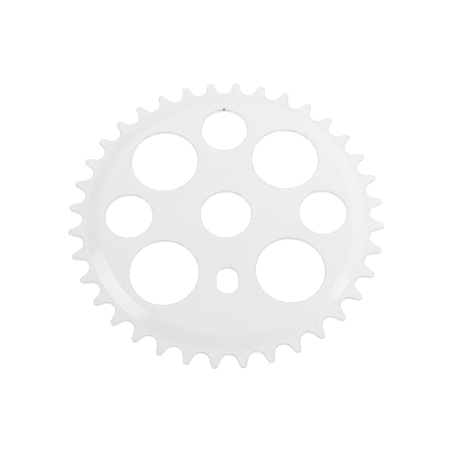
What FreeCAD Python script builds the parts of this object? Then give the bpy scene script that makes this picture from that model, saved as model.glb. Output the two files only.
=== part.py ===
# One-piece stamped steel chain sprocket for a half-inch-pitch bicycle chain.
#
# A single blank of sheet steel: a flat middle disc with a plain centre bore, a drive-pin slot below it and seven
# round lightening holes, then a conical step pressed all the way round, then a flat toothed rim set back from the
# disc. It lies face up: +Z is the sprocket's axis and points out of its front face, -Y runs from the bore towards
# the drive-pin slot, and the origin is the centre of the bore, halfway through the disc. Millimetres.
import FreeCAD
import Part
import math
import os

# Chain and teeth
CHAIN_PITCH = 12.7
ROLLER_DIAMETER = 7.75
TOOTH_COUNT = 36
TIP_RADIUS = 75.5                # to the highest point of a tooth
TIP_ROUND = 1.67                 # the tooth's own rounded top, seen face on
SEAT_PER_ROLLER = 0.513          # a roller seat's radius as a share of the roller's diameter

# Plate, over its coating
THICKNESS = 2.0
DISH = 2.6                       # how far the toothed rim is set back from the middle disc
STEP_START_RADIUS = 59.2         # where the flat middle disc ends
STEP_SLOPE = math.radians(24.0)  # the conical step against the flat
SHOULDER_BEND = 6.9              # the step's upper bend, halfway through the plate
FOOT_BEND = 3.5                  # the step's lower bend, halfway through the plate
EDGE_ROUND = 0.4                 # the rounding that blanking and coating leave on every edge
TIP_BEVEL_START = 73.4           # the teeth thin down from this radius outwards
TIP_BEVEL_DEPTH = 0.3            # taken off each face at the tip radius

# Openings in the middle disc
BORE_RADIUS = 12.0
LARGE_HOLE_RADIUS = 16.0
LARGE_HOLE_PITCH_RADIUS = 41.5
LARGE_HOLE_ANGLES = (45, 135, 225, 315)
MEDIUM_HOLE_RADIUS = 11.2
MEDIUM_HOLE_PITCH_RADIUS = 46.2
MEDIUM_HOLE_ANGLES = (0, 90, 180)
PIN_SLOT_Y = -34.0
PIN_SLOT_WIDTH = 10.0
PIN_SLOT_LENGTH = 12.7           # along the radius, over both round ends

# Worked out from the above
PITCH_RADIUS = CHAIN_PITCH / (2 * math.sin(math.pi / TOOTH_COUNT))
SEAT_RADIUS = SEAT_PER_ROLLER * ROLLER_DIAMETER
ROOT_RADIUS = PITCH_RADIUS - SEAT_RADIUS
HALF = THICKNESS / 2
BOTH_BENDS = SHOULDER_BEND + FOOT_BEND
STRAIGHT_DROP = DISH - BOTH_BENDS * (1 - math.cos(STEP_SLOPE))
STEP_END_RADIUS = STEP_START_RADIUS + BOTH_BENDS * math.sin(STEP_SLOPE) + STRAIGHT_DROP / math.tan(STEP_SLOPE)
JOIN_RADIUS = (STEP_END_RADIUS + ROOT_RADIUS) / 2   # on the rim's flat, between the step and the roots
CUT_DEPTH = 20.0                 # long enough to pass through the plate from above
AXIS = FreeCAD.Vector(0, 0, 1)


def on_circle(radius, angle, z=0.0):
    return FreeCAD.Vector(radius * math.cos(angle), radius * math.sin(angle), z)


def arc(start, middle, end):
    return Part.Arc(start, middle, end).toShape()


def line(start, end):
    return Part.LineSegment(start, end).toShape()


def straight_cylinder(x, y, radius):
    return Part.makeCylinder(radius, 2 * CUT_DEPTH, FreeCAD.Vector(x, y, -CUT_DEPTH), AXIS)


def tooth_outline(z):
    """The closed outline of all the teeth: round tops and roller seats, joined by their common tangents."""
    half_pitch = math.pi / TOOTH_COUNT
    tip_centre_radius = TIP_RADIUS - TIP_ROUND
    # In a frame with the tooth along +Y, the tangent between the tip arc and the next seat arc
    to_seat_x = PITCH_RADIUS * math.sin(half_pitch)
    to_seat_y = PITCH_RADIUS * math.cos(half_pitch) - tip_centre_radius
    tangent_turn = math.acos((TIP_ROUND + SEAT_RADIUS) / math.hypot(to_seat_x, to_seat_y))
    contact = math.atan2(to_seat_y, to_seat_x) + tangent_turn

    def place(x, y, tooth_angle):
        turned = tooth_angle - math.pi / 2
        return FreeCAD.Vector(
            x * math.cos(turned) - y * math.sin(turned), x * math.sin(turned) + y * math.cos(turned), z
        )

    tip_x = TIP_ROUND * math.cos(contact)
    tip_y = tip_centre_radius + TIP_ROUND * math.sin(contact)
    seat_x = to_seat_x - SEAT_RADIUS * math.cos(contact)
    seat_y = PITCH_RADIUS * math.cos(half_pitch) - SEAT_RADIUS * math.sin(contact)
    edges = []
    for tooth in range(TOOTH_COUNT):
        angle = (2 * tooth + 1) * half_pitch
        right_seat_end = place(seat_x, seat_y, angle)
        right_tip_end = place(tip_x, tip_y, angle)
        left_tip_end = place(-tip_x, tip_y, angle)
        left_seat_end = place(-seat_x, seat_y, angle)
        next_seat_start = place(seat_x, seat_y, angle + 2 * half_pitch)
        edges.append(line(right_seat_end, right_tip_end))
        edges.append(arc(right_tip_end, on_circle(TIP_RADIUS, angle, z), left_tip_end))
        edges.append(line(left_tip_end, left_seat_end))
        edges.append(arc(left_seat_end, on_circle(ROOT_RADIUS, angle + half_pitch, z), next_seat_start))
    return Part.Wire(edges)


def face_line(side):
    """One face of the dished disc in section, from the axis to the join radius, as edges in the XZ plane.
    side is +1 for the front face and -1 for the back face."""
    shoulder_bend = SHOULDER_BEND + side * HALF
    foot_bend = FOOT_BEND - side * HALF

    def shoulder(turn):
        radius = STEP_START_RADIUS + shoulder_bend * math.sin(turn)
        return FreeCAD.Vector(radius, 0, shoulder_bend * math.cos(turn) - SHOULDER_BEND)

    def foot(turn):
        radius = STEP_END_RADIUS - foot_bend * math.sin(turn)
        return FreeCAD.Vector(radius, 0, FOOT_BEND - DISH - foot_bend * math.cos(turn))

    middle = FreeCAD.Vector(0, 0, side * HALF)
    rim = FreeCAD.Vector(JOIN_RADIUS, 0, side * HALF - DISH)
    return [
        line(middle, shoulder(0)),
        arc(shoulder(0), shoulder(STEP_SLOPE / 2), shoulder(STEP_SLOPE)),
        line(shoulder(STEP_SLOPE), foot(STEP_SLOPE)),
        arc(foot(STEP_SLOPE), foot(STEP_SLOPE / 2), foot(0)),
        line(foot(0), rim),
    ]


def dished_disc():
    """The middle disc and the conical step, out to the flat of the rim."""
    front = face_line(1)
    back = face_line(-1)
    outer = line(FreeCAD.Vector(JOIN_RADIUS, 0, HALF - DISH), FreeCAD.Vector(JOIN_RADIUS, 0, -HALF - DISH))
    axis = line(FreeCAD.Vector(0, 0, HALF), FreeCAD.Vector(0, 0, -HALF))
    section = Part.Face(Part.Wire(Part.__sortEdges__(front + back + [outer, axis])))
    return section.revolve(FreeCAD.Vector(0, 0, 0), AXIS, 360)


def bevel_envelope():
    """A disc that thins down outside the bevel radius. What the tooth ring shares with it has bevelled tips."""
    reach = TIP_RADIUS + 1.0
    slope = TIP_BEVEL_DEPTH / (TIP_RADIUS - TIP_BEVEL_START)
    end_half = HALF - slope * (reach - TIP_BEVEL_START)
    corners = [
        (0, HALF), (TIP_BEVEL_START, HALF), (reach, end_half),
        (reach, -end_half), (TIP_BEVEL_START, -HALF), (0, -HALF), (0, HALF),
    ]
    points = [FreeCAD.Vector(radius, 0, z - DISH) for radius, z in corners]
    return Part.Face(Part.makePolygon(points)).revolve(FreeCAD.Vector(0, 0, 0), AXIS, 360)


def tooth_ring():
    """The flat rim with its teeth, rounded along the outline and bevelled at the tips."""
    blank = Part.Face(tooth_outline(-DISH - HALF)).extrude(AXIS * THICKNESS)
    outline_edges = [
        edge for edge in blank.Edges
        if abs(edge.BoundBox.ZMax - edge.BoundBox.ZMin) < 1e-6
    ]
    rounded = blank.makeFillet(EDGE_ROUND, outline_edges)
    return rounded.common(bevel_envelope()).cut(straight_cylinder(0, 0, JOIN_RADIUS))


def lightening_holes():
    cutters = []
    for angles, pitch_radius, radius in (
        (LARGE_HOLE_ANGLES, LARGE_HOLE_PITCH_RADIUS, LARGE_HOLE_RADIUS),
        (MEDIUM_HOLE_ANGLES, MEDIUM_HOLE_PITCH_RADIUS, MEDIUM_HOLE_RADIUS),
    ):
        for angle in angles:
            centre = on_circle(pitch_radius, math.radians(angle))
            cutters.append(straight_cylinder(centre.x, centre.y, radius))
    return cutters


def drive_pin_slot():
    """A slot with round ends, a little longer along the radius than it is wide."""
    end_radius = PIN_SLOT_WIDTH / 2
    end_offset = PIN_SLOT_LENGTH / 2 - end_radius
    low_y = PIN_SLOT_Y - end_offset
    high_y = PIN_SLOT_Y + end_offset
    between = Part.makeBox(
        PIN_SLOT_WIDTH, 2 * end_offset, 2 * CUT_DEPTH, FreeCAD.Vector(-end_radius, low_y, -CUT_DEPTH)
    )
    ends = straight_cylinder(0, low_y, end_radius).fuse(straight_cylinder(0, high_y, end_radius))
    return ends.fuse(between).removeSplitter()


def is_opening_edge(edge):
    """True for an edge where an opening meets either flat face of the middle disc."""
    box = edge.BoundBox
    flat = abs(box.ZMax - box.ZMin) < 1e-6 and abs(abs(box.ZMax) - HALF) < 1e-6
    reach = max(math.hypot(point.x, point.y) for point in edge.discretize(9))
    return flat and reach < STEP_START_RADIUS - 0.5


def sprocket_plate():
    disc = dished_disc()
    for cutter in [straight_cylinder(0, 0, BORE_RADIUS), drive_pin_slot()] + lightening_holes():
        disc = disc.cut(cutter)
    disc = disc.makeFillet(EDGE_ROUND, [edge for edge in disc.Edges if is_opening_edge(edge)])
    return disc.fuse(tooth_ring()).removeSplitter()


def write_node(name, shape):
    solids = shape.Solids
    whole = solids[0] if len(solids) == 1 else Part.Compound(solids)
    whole.exportStep(os.path.join("parts", name + ".step"))
    box = whole.BoundBox
    print(
        name, "solids", len(solids), "valid", whole.isValid(), "volume mm3", round(whole.Volume, 1),
        "box", [round(v, 3) for v in (box.XMin, box.YMin, box.ZMin, box.XMax, box.YMax, box.ZMax)],
    )


os.makedirs("parts", exist_ok=True)
print("pitch radius", round(PITCH_RADIUS, 3), "root radius", round(ROOT_RADIUS, 3),
      "step ends at", round(STEP_END_RADIUS, 3))
write_node("sprocket_plate", sprocket_plate())
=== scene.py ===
import math

import bmesh
import bpy
from mathutils import Matrix, Vector


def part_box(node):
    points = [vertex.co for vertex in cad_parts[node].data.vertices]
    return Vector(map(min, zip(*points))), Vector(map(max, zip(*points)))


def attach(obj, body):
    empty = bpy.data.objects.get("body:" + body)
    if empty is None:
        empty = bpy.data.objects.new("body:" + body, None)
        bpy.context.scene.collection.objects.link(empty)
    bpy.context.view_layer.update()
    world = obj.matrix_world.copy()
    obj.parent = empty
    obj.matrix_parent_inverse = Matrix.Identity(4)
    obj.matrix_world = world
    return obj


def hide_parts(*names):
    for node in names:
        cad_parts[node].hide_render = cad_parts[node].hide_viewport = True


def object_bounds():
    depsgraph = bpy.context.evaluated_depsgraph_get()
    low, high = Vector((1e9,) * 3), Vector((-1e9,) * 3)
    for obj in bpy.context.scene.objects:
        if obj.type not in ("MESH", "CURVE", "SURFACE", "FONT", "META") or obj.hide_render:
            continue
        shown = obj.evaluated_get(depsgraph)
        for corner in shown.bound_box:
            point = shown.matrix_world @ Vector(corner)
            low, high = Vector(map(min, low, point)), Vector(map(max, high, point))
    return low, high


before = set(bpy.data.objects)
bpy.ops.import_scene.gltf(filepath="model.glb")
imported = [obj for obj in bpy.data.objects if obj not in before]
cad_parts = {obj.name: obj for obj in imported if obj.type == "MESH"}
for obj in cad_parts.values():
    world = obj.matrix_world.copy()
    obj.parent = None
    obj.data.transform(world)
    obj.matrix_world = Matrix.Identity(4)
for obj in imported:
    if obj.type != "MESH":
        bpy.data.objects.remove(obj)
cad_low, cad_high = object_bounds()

# ------------------------------------------------------------------------------------------------
# The sprocket plate. One sheet of mild steel, blanked and pierced in a press and then dished: a
# flat middle, a conical step, and a flat toothed rim whose teeth are coined thinner towards their
# tips. It's powder coated all over, so every edge that the press left is soft.

plate_low, plate_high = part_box("sprocket_plate")
half_thickness = plate_high.z
dish = -plate_low.z - half_thickness
middle_z = half_thickness                # the front faces of the middle and of the toothed rim
rim_z = half_thickness - dish

tooth_count = 36
half_pitch = math.pi / tooth_count
pitch_radius = 0.0127 / (2 * math.sin(half_pitch))
seat_radius = 0.00775 * 0.513            # a little over half of the chain roller's diameter
tip_radius = 0.0755
tip_round = 0.00167
coining_starts = 0.0727                  # both measured out along a tooth's own centre line
coining_is_straight = 0.0741
coining_slope = 0.14

step_start = 0.0592
step_slope = math.radians(24)
shoulder_bend = 0.0069                   # both bends are measured at the middle of the sheet
foot_bend = 0.0035
straight_drop = dish - (shoulder_bend + foot_bend) * (1 - math.cos(step_slope))
step_end = (
    step_start + (shoulder_bend + foot_bend) * math.sin(step_slope) + straight_drop / math.tan(step_slope)
)
rim_inner_radius = (step_end + pitch_radius - seat_radius) / 2

bore_radius = 0.012                      # slides over the round shoulder of the crank
pin_slot_y = -0.034
pin_slot_end_radius = 0.005
pin_slot_half_straight = 0.00135
large_hole_radius = 0.016
large_hole_ring = 0.0415                 # the radius that the holes' centres lie on
medium_hole_radius = 0.0112
medium_hole_ring = 0.0462
edge_round = 0.0004
edge_land = 0.0012                       # plain ring kept round each opening, wider than its rounding
press_edge_angle = math.radians(60)      # a sharper turn than this is an edge that the press cut


def spun_arc(bm, start, centre, turn, steps):
    """Draws an arc by turning a new vertex about centre, and returns its first and last vertices."""
    first = bm.verts.new(start)
    arc = bmesh.ops.spin(bm, geom=[first], cent=centre, axis=(0, 0, 1), angle=turn, steps=steps)
    return first, arc["geom_last"][0]


def add_toothed_rim(bm):
    """The rim's front face: half a tooth is drawn about +Y, mirrored, filled and turned into all."""
    tip_centre = Vector((0, tip_radius - tip_round, rim_z))
    seat_centre = Vector((pitch_radius * math.sin(half_pitch), pitch_radius * math.cos(half_pitch), rim_z))
    apart = seat_centre - tip_centre
    tangent = math.atan2(apart.y, apart.x) + math.acos((tip_round + seat_radius) / apart.length)
    tip_turn = tangent - math.pi / 2
    root_point = Matrix.Rotation(-half_pitch, 3, "Z") @ Vector((0, pitch_radius - seat_radius, rim_z))

    _, tip_end = spun_arc(bm, (0, tip_radius, rim_z), tip_centre, tip_turn, 8)
    root, seat_end = spun_arc(bm, root_point, seat_centre, tip_turn + half_pitch, 10)
    _, inner_end = spun_arc(bm, (0, rim_inner_radius, rim_z), (0, 0, 0), -half_pitch, 5)
    bm.edges.new((tip_end, seat_end))
    bm.edges.new((root, inner_end))
    bmesh.ops.mirror(bm, geom=bm.verts[:] + bm.edges[:], axis="X", merge_dist=1e-6)
    bmesh.ops.contextual_create(bm, geom=bm.edges[:])
    for share in (0, 0.25, 0.5, 0.75, 1):
        level = coining_starts + share * (coining_is_straight - coining_starts)
        geom = bm.verts[:] + bm.edges[:] + bm.faces[:]
        bmesh.ops.bisect_plane(bm, geom=geom, plane_co=(0, level, 0), plane_no=(0, 1, 0))
    bmesh.ops.rotate(bm, verts=bm.verts[:], cent=(0, 0, 0), matrix=Matrix.Rotation(half_pitch, 3, "Z"))
    bmesh.ops.spin(
        bm, geom=bm.verts[:] + bm.edges[:] + bm.faces[:], cent=(0, 0, 0), axis=(0, 0, 1),
        angle=2 * half_pitch * (tooth_count - 1), steps=tooth_count - 1, use_duplicate=True,
    )
    bmesh.ops.remove_doubles(bm, verts=bm.verts[:], dist=1e-6)


def add_step(bm):
    """Draws the rim's inner edge in and up, over the two bends, to the flat middle's edge."""
    foot_radius = foot_bend - half_thickness
    shoulder_radius = shoulder_bend + half_thickness
    path = []
    for share in range(7):
        turn = step_slope * share / 6
        radius = step_end - foot_radius * math.sin(turn)
        path.append((radius, foot_bend - dish - foot_radius * math.cos(turn)))
    for share in range(9):
        turn = step_slope * (1 - share / 8)
        radius = step_start + shoulder_radius * math.sin(turn)
        path.append((radius, shoulder_radius * math.cos(turn) - shoulder_bend))
    loop = [
        edge for edge in bm.edges
        if edge.is_boundary and max(v.co.xy.length for v in edge.verts) < rim_inner_radius + 1e-6
    ]
    for radius, z in path:
        made = bmesh.ops.extrude_edge_only(bm, edges=loop)["geom"]
        loop = [item for item in made if isinstance(item, bmesh.types.BMEdge)]
        for vertex in {v for edge in loop for v in edge.verts}:
            vertex.co = (vertex.co.xy.normalized() * radius).to_3d() + Vector((0, 0, z))
    return loop


def add_opening(bm, x, y, radius, segments, apart=0.0):
    """A plain ring round one opening. apart draws its two halves away from each other, into a slot."""
    centre = Vector((x, y, middle_z))
    ring = bmesh.ops.create_circle(bm, segments=segments, radius=radius, matrix=Matrix.Translation(centre))
    for vertex in ring["verts"]:
        if abs(vertex.co.y - y) > 1e-6:
            vertex.co.y += math.copysign(apart, vertex.co.y - y)
    inner = set(ring["verts"])
    edges = [edge for edge in bm.edges if edge.verts[0] in inner]
    made = bmesh.ops.extrude_edge_only(bm, edges=edges)["geom"]
    outer = [item for item in made if isinstance(item, bmesh.types.BMVert)]
    grown = (radius + edge_land) / radius
    bmesh.ops.scale(bm, vec=(grown, grown, 1), space=Matrix.Translation(-centre), verts=outer)
    return [item for item in made if isinstance(item, bmesh.types.BMEdge)]


def coined_share(point):
    """How much of the sheet's thickness is left at a point, going out along its own tooth."""
    off_centre = math.atan2(point.y, point.x) % (2 * half_pitch) - half_pitch
    reach = point.xy.length * math.cos(off_centre)
    blend = coining_is_straight - coining_starts
    if reach < coining_starts:
        return 1
    if reach < coining_is_straight:
        return 1 - coining_slope * (reach - coining_starts) ** 2 / (2 * blend) / half_thickness
    return 1 - coining_slope * (reach - coining_is_straight + blend / 2) / half_thickness


bm = bmesh.new()
add_toothed_rim(bm)
fill_edges = add_step(bm)
fill_edges += add_opening(bm, 0, 0, bore_radius, 96)
fill_edges += add_opening(bm, 0, pin_slot_y, pin_slot_end_radius, 64, apart=pin_slot_half_straight)
for ring, radius, segments, turns in (
    (large_hole_ring, large_hole_radius, 128, (45, 135, 225, 315)),
    (medium_hole_ring, medium_hole_radius, 96, (0, 90, 180)),
):
    for turn in turns:
        centre = Matrix.Rotation(math.radians(turn), 2) @ Vector((ring, 0))
        fill_edges += add_opening(bm, centre.x, centre.y, radius, segments)
bmesh.ops.triangle_fill(bm, use_beauty=True, edges=fill_edges, normal=(0, 0, 1))
bmesh.ops.recalc_face_normals(bm, faces=bm.faces[:])
if sum(face.normal.z for face in bm.faces) < 0:
    bmesh.ops.reverse_faces(bm, faces=bm.faces[:])
bmesh.ops.solidify(bm, geom=bm.faces[:], thickness=2 * half_thickness)
bmesh.ops.recalc_face_normals(bm, faces=bm.faces[:])
press_edges = [edge for edge in bm.edges if edge.calc_face_angle(0) > press_edge_angle]
rounding = bmesh.ops.bevel(
    bm, geom=press_edges, offset=edge_round, offset_type="OFFSET", segments=5, profile=0.5,
    affect="EDGES", material=-1, loop_slide=True,
)
for vertex in bm.verts:
    vertex.co.z = -dish + (vertex.co.z + dish) * coined_share(vertex.co)

# Where the sheet turns over an edge the powder runs thin, and the coat is a little greyer there. The
# rounded edges are also painted a darker grey as painted shade, which stands in for the shade that falls on
# them.
thin_coat_and_shaded_edge = bm.verts.layers.float.new("thin_coat_and_shaded_edge")
rounded_faces = set(rounding["faces"])
for vertex in bm.verts:
    vertex[thin_coat_and_shaded_edge] = float(all(face in rounded_faces for face in vertex.link_faces))
for face in bm.faces:
    face.smooth = True
plate_mesh = bpy.data.meshes.new("sprocket_plate_finished")
bm.to_mesh(plate_mesh)
bm.free()
plate = bpy.data.objects.new("sprocket_plate_finished", plate_mesh)
bpy.context.scene.collection.objects.link(plate)
weighted = plate.modifiers.new("flat faces stay flat", "WEIGHTED_NORMAL")
weighted.keep_sharp = True


class Field:
    """One value or vector worked out in a shader's nodes, used in ordinary arithmetic."""

    def __init__(self, tree, socket):
        self.tree = tree
        self.socket = socket

    def make(self, kind, settings, sockets, output=0):
        """Adds a node: its settings first, then its sockets' values or links. Gives one output."""
        node = self.tree.nodes.new(kind)
        for name, value in settings.items():
            setattr(node, name, value)
        for name, value in sockets.items():
            if isinstance(value, Field):
                self.tree.links.new(value.socket, node.inputs[name])
            else:
                node.inputs[name].default_value = value
        return Field(self.tree, node.outputs[output])

    def maths(self, operation, first, second):
        return self.make("ShaderNodeMath", {"operation": operation}, {0: first, 1: second})

    def __add__(self, other):
        return self.maths("ADD", self, other)

    def __radd__(self, other):
        return self.maths("ADD", other, self)

    def __sub__(self, other):
        return self.maths("SUBTRACT", self, other)

    def __rsub__(self, other):
        return self.maths("SUBTRACT", other, self)

    def __mul__(self, other):
        return self.maths("MULTIPLY", self, other)

    def __rmul__(self, other):
        return self.maths("MULTIPLY", other, self)

    def ease(self, start, end):
        """0 before start and 1 past end, with a smooth turn between them."""
        sockets = {"Value": self, "From Min": start, "From Max": end}
        return self.make("ShaderNodeMapRange", {"interpolation_type": "SMOOTHSTEP"}, sockets)

    def mottle(self, feature, detail):
        """Soft patches about one feature size across, from about 0.3 to 0.7."""
        return self.make("ShaderNodeTexNoise", {}, {"Vector": self, "Scale": 1 / feature, "Detail": detail})

    def distance(self, point, stretch):
        """The distance from a point, in a space that is stretched about it along each axis."""
        offset = self.make("ShaderNodeVectorMath", {"operation": "SUBTRACT"}, {0: self, 1: point})
        scaled = self.make("ShaderNodeVectorMath", {"operation": "MULTIPLY"}, {0: offset, 1: stretch})
        return self.make("ShaderNodeVectorMath", {"operation": "LENGTH"}, {0: scaled}, "Value")

    def glow_towards(self, direction, sharpness):
        """A wide soft glow: 1 where this direction is the given one, and 0 from square to it onwards."""
        sockets = {0: self, 1: direction}
        along = self.make("ShaderNodeVectorMath", {"operation": "DOT_PRODUCT"}, sockets, "Value")
        return self.maths("POWER", self.maths("MAXIMUM", along, 0), sharpness)

    def between(self, first, second):
        """A colour, from the first to the second as the value goes from 0 to 1."""
        return self.make("ShaderNodeMix", {"data_type": "RGBA"}, {0: self, 6: first, 7: second}, 2)


coat = bpy.data.materials.new("gloss_white_powder_coat")
coat.use_nodes = True
coat_tree = coat.node_tree
shader = coat_tree.nodes["Principled BSDF"]
place = Field(coat_tree, coat_tree.nodes.new("ShaderNodeTexCoord").outputs["Object"])
thin_and_shaded_edge = place.make("ShaderNodeAttribute", {"attribute_name": "thin_coat_and_shaded_edge"}, {}, "Fac")

coat_white = (0.83, 0.83, 0.83, 1)
coat_cloud = (0.82, 0.82, 0.818, 1)      # where the powder went on a little heavier
# The edge grey is partly the thinner coat's own tone and partly painted shade on the rounded edges.
edge_grey_and_painted_shade = (0.60, 0.595, 0.585, 1)
lifted_grey = (0.36, 0.35, 0.34, 1)
bare_steel = (0.42, 0.415, 0.40, 1)

# The wire hook that the part hung from in the oven leaves a bare spot at the topmost hole's front
# edge, and the coat lifts from it in a faint hairline along the edge on each side.
hook_point = (0, medium_hole_ring + medium_hole_radius + edge_round, middle_z)
ragged_by = 0.0006                       # how far the spot's outline wanders
spot_radius = 0.0009
hairline_reach = 0.0032
from_hook = place.distance(hook_point, (1, 1, 0.7)) + place.mottle(0.0005, 2) * ragged_by
bare = 1 - from_hook.ease(spot_radius - 0.0002, spot_radius + 0.0002)
hairline = (1 - from_hook.ease(hairline_reach - 0.001, hairline_reach + 0.001)) * thin_and_shaded_edge

cloudiness = place.mottle(0.030, 3).ease(0.25, 0.75)
# The rounded edges are painted grey: partly the thinner coat, partly painted shade.
edge_wear_and_painted_shade = thin_and_shaded_edge * (0.5 + place.mottle(0.004, 2).ease(0.2, 0.8) * 0.5)
colour = cloudiness.between(coat_white, coat_cloud)
colour = edge_wear_and_painted_shade.between(colour, edge_grey_and_painted_shade)
colour = (hairline * 0.35).between(colour, lifted_grey)
colour = bare.between(colour, bare_steel)
roughness = 0.10 + place.mottle(0.009, 3) * 0.07 + thin_and_shaded_edge * 0.05 + bare * 0.25
orange_peel = place.mottle(0.0018, 1.5) + place.mottle(0.006, 1) * 1.5 - bare * 4
peel_depth = 0.000012
bump = place.make("ShaderNodeBump", {}, {"Height": orange_peel, "Distance": peel_depth, "Strength": 1.0})
coat_tree.links.new(colour.socket, shader.inputs["Base Color"])
coat_tree.links.new(bare.socket, shader.inputs["Metallic"])
coat_tree.links.new(roughness.socket, shader.inputs["Roughness"])
coat_tree.links.new(bump.socket, shader.inputs["Normal"])
plate_mesh.materials.append(coat)
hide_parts("sprocket_plate")
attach(plate, "root")

# ------------------------------------------------------------------------------------------------
# The studio: a white floor that glows, so that it's shadowless and plain, walls that are lit low down
# and dark overhead, a tall soft panel on each side that the conical step mirrors, and four fill
# lights that reach the coat but aren't mirrored in it.

floor_half_width = 4.0
floor_brightness = 1.05
floor_mesh = bpy.data.meshes.new("floor")
floor_bm = bmesh.new()
under_rim = Matrix.Translation((0, 0, cad_low.z))
bmesh.ops.create_grid(floor_bm, x_segments=1, y_segments=1, size=floor_half_width, matrix=under_rim)
floor_bm.to_mesh(floor_mesh)
floor_bm.free()
floor = bpy.data.objects.new("floor", floor_mesh)
bpy.context.scene.collection.objects.link(floor)
white = bpy.data.materials.new("white_floor")
white.use_nodes = True
floor_shader = white.node_tree.nodes["Principled BSDF"]
floor_shader.inputs["Base Color"].default_value = (0, 0, 0, 1)
floor_shader.inputs["Specular IOR Level"].default_value = 0
floor_shader.inputs["Emission Color"].default_value = (1, 1, 1, 1)
floor_shader.inputs["Emission Strength"].default_value = floor_brightness
floor_mesh.materials.append(white)
floor.visible_diffuse = False
floor.visible_glossy = False


def direction_to(yaw, tilt):
    """Points outwards: yaw is in degrees from +X towards +Y, and tilt is in degrees above level."""
    turned_up = Matrix.Rotation(math.radians(-tilt), 3, "Y") @ Vector((1, 0, 0))
    return Matrix.Rotation(math.radians(yaw), 3, "Z") @ turned_up


world = bpy.data.worlds.new("studio")
bpy.context.scene.world = world
world.use_nodes = True
world_tree = world.node_tree
towards = Field(world_tree, world_tree.nodes.new("ShaderNodeTexCoord").outputs["Generated"])
from_below = 1.1
walls = 0
for yaw, brightness in ((45, 0.55), (90, 0.72), (180, 0.80), (225, 1.33), (270, 0.25), (315, 0.80)):
    walls += towards.glow_towards(direction_to(yaw, 12), 6) * brightness
walls += towards.glow_towards(direction_to(60, 45), 6) * 0.36       # a fainter patch, high at the back
height = towards.make("ShaderNodeSeparateXYZ", {}, {"Vector": towards}, "Z")
upper_half = height.maths("GREATER_THAN", height, 0)
strength = from_below + upper_half * (walls - from_below)
background = world_tree.nodes["Background"]
background.inputs["Color"].default_value = (1, 1, 1, 1)
world_tree.links.new(strength.socket, background.inputs["Strength"])

panel_lean = math.radians(19)


def add_panel(name, yaw, tilt, distance, half_width, low, high, radiance):
    """A rectangular soft light. Its plane is a distance away towards yaw and tilt, and its sides lean
    back a little from upright. low and high are along them, and radiance is how bright it looks."""
    outward = direction_to(yaw, tilt)
    across = Vector((0, math.sin(panel_lean), math.cos(panel_lean))).cross(outward).normalized()
    upward = outward.cross(across)
    panel = bpy.data.lights.new(name, "AREA")
    panel.shape = "RECTANGLE"
    panel.size = 2 * half_width
    panel.size_y = high - low
    panel.energy = radiance * math.pi * panel.size * panel.size_y
    holder = bpy.data.objects.new(name, panel)
    bpy.context.scene.collection.objects.link(holder)
    turn = Matrix((across, upward, outward)).transposed().to_4x4()
    holder.matrix_world = Matrix.Translation(distance * outward + (low + high) / 2 * upward) @ turn
    return holder


add_panel("left_softbox", -158.5, 7.5, 1.2, 0.465, 0.9, 2.28, 2.35)
add_panel("left_softbox_middle", -157, 7.5, 1.2, 0.22, 0.9, 2.28, 1.02)
add_panel("right_softbox", -24, 3, 1.2, 0.16, 0.95, 1.39, 1.73)
for name, yaw, tilt, distance, half_width, radiance in (
    ("right_fill", 0, 40, 0.5, 0.15, 2.7),
    ("back_right_fill", 45, 40, 0.5, 0.15, 0.96),
    ("back_left_fill", 135, 40, 0.5, 0.15, 2.3),
    ("front_right_fill", -45, 25, 2.0, 0.6, 2.3),
):
    fill = add_panel(name, yaw, tilt, distance, half_width, -half_width, half_width, radiance)
    fill.visible_glossy = False

# The camera stands in front and well above, on a long lens, and is held a degree off level.
camera_data = bpy.data.cameras.new("camera")
camera_data.lens = 82.215
camera_data.sensor_width = 36
camera = bpy.data.objects.new("camera", camera_data)
bpy.context.scene.collection.objects.link(camera)
camera_elevation = math.radians(65.005)
camera_distance = 0.48948
camera_aim = Matrix.Translation((-0.00014, -0.00586, 0))
camera_tilt = Matrix.Rotation(math.pi / 2 - camera_elevation, 4, "X")
camera_roll = Matrix.Rotation(math.radians(-1.15), 4, "Z")
camera.matrix_world = camera_aim @ camera_tilt @ Matrix.Translation((0, 0, camera_distance)) @ camera_roll
bpy.context.scene.camera = camera
bpy.context.scene.view_settings.view_transform = "Standard"
